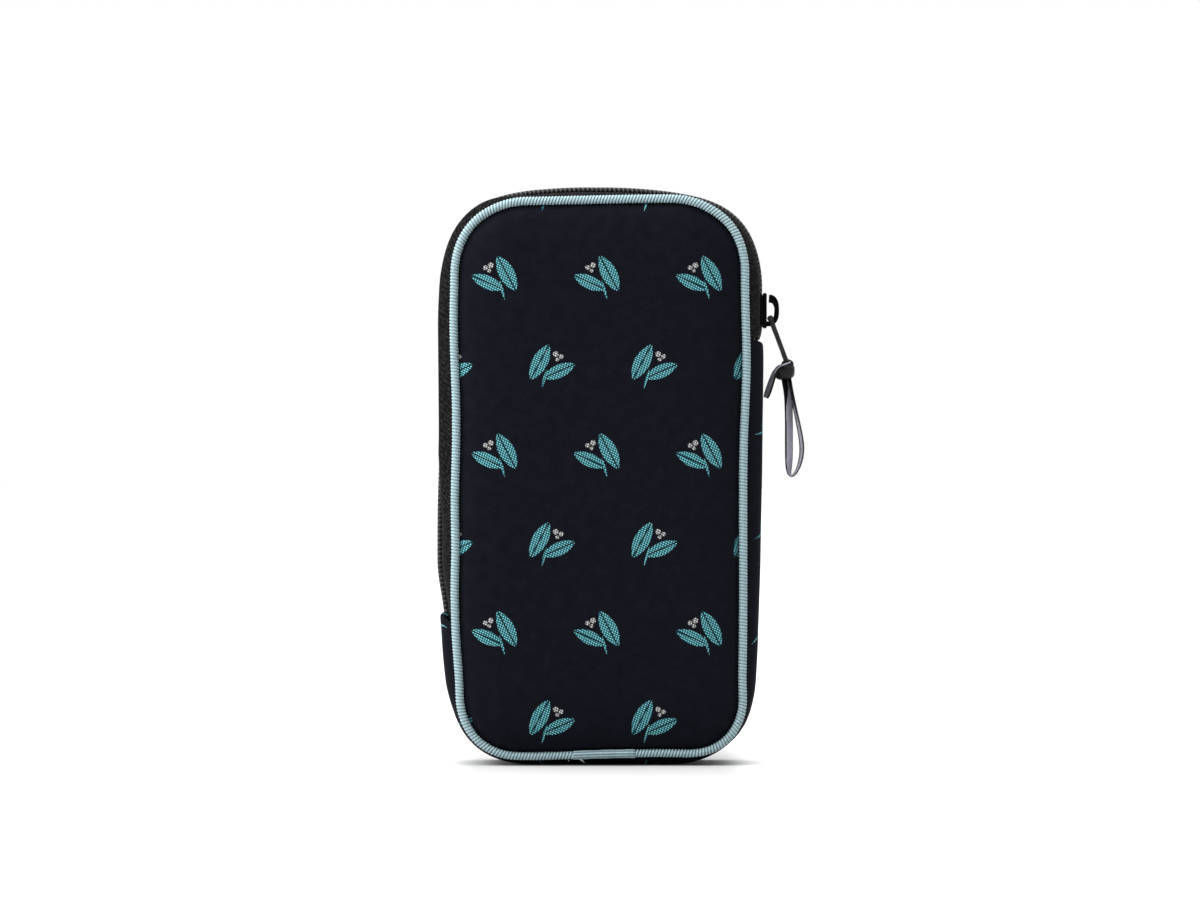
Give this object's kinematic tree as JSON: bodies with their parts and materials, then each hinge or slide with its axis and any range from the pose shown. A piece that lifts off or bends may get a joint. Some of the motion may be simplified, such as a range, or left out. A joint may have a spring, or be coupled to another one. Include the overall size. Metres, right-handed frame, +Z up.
{
  "type": "zip-round pouch",
  "caption": "Padded upright pouch with piped edges, a zip over its upper sides, a padded gusset below and a knotted ribbon on the zip pull.",
  "frame": {"origin": "middle of the flat underside of the gusset, on which the pouch stands", "axes": "+Z up along the pouch's length, -Y out of the front panel, +X towards the side with the slider"},
  "size_m": [0.1231, 0.0416, 0.1933],
  "materials": {
    "cloth": "matte woven",
    "foam": "matte foam",
    "lining": "plain woven",
    "piping": "ribbed grosgrain",
    "zip_tape": "matte twill",
    "coil": "satin nylon",
    "slider": "black enamel",
    "ribbon": "satin ribbon"
  },
  "bodies": {
    "body": {"back_panel": "cloth", "back_foam": "foam", "back_lining": "lining", "back_piping": "piping", "back_piping_join": "piping", "back_binding": "zip_tape", "gusset_band": "cloth", "gusset_foam": "foam", "gusset_lining": "lining", "front_panel_lower": "cloth", "front_foam_lower": "foam", "front_lining_lower": "lining", "front_piping_lower": "piping", "front_piping_join": "piping", "front_binding_lower": "zip_tape", "zip_tape_back": "zip_tape", "zip_coil_back": "coil", "zip_tape_front_end": "zip_tape", "zip_coil_front_end": "coil"},
    "flap": {"front_panel_flap": "cloth", "front_foam_flap": "foam", "front_lining_flap": "lining", "front_piping_flap": "piping", "front_binding_flap": "zip_tape", "zip_tape_front": "zip_tape", "zip_coil_front": "coil"},
    "slider": {"slider_body": "slider"},
    "pull": {"pull_tab": "slider"},
    "ribbon": {"pull_ribbon": "ribbon"}
  },
  "joints": [
    {"name": "flap_fold", "type": "hinge", "parent": "body", "child": "flap", "pos_m": [0.00119, -0.021, 0.10601], "axis": [0.6289, 0, 0.7775], "range_deg": [0, 70]},
    {"name": "slider_run", "type": "slide", "parent": "body", "child": "slider", "axis": [0, 0, 1], "range_m": [0, 0.007]},
    {"name": "pull_swing", "type": "hinge", "parent": "slider", "child": "pull", "pos_m": [0.05726, 0, 0.14933], "axis": [0, -1, 0], "range_deg": [0, 110]},
    {"name": "ribbon_swing", "type": "hinge", "parent": "pull", "child": "ribbon", "pos_m": [0.0628, 0, 0.13442], "axis": [0, -1, 0], "range_deg": [0, 35]}
  ]
}
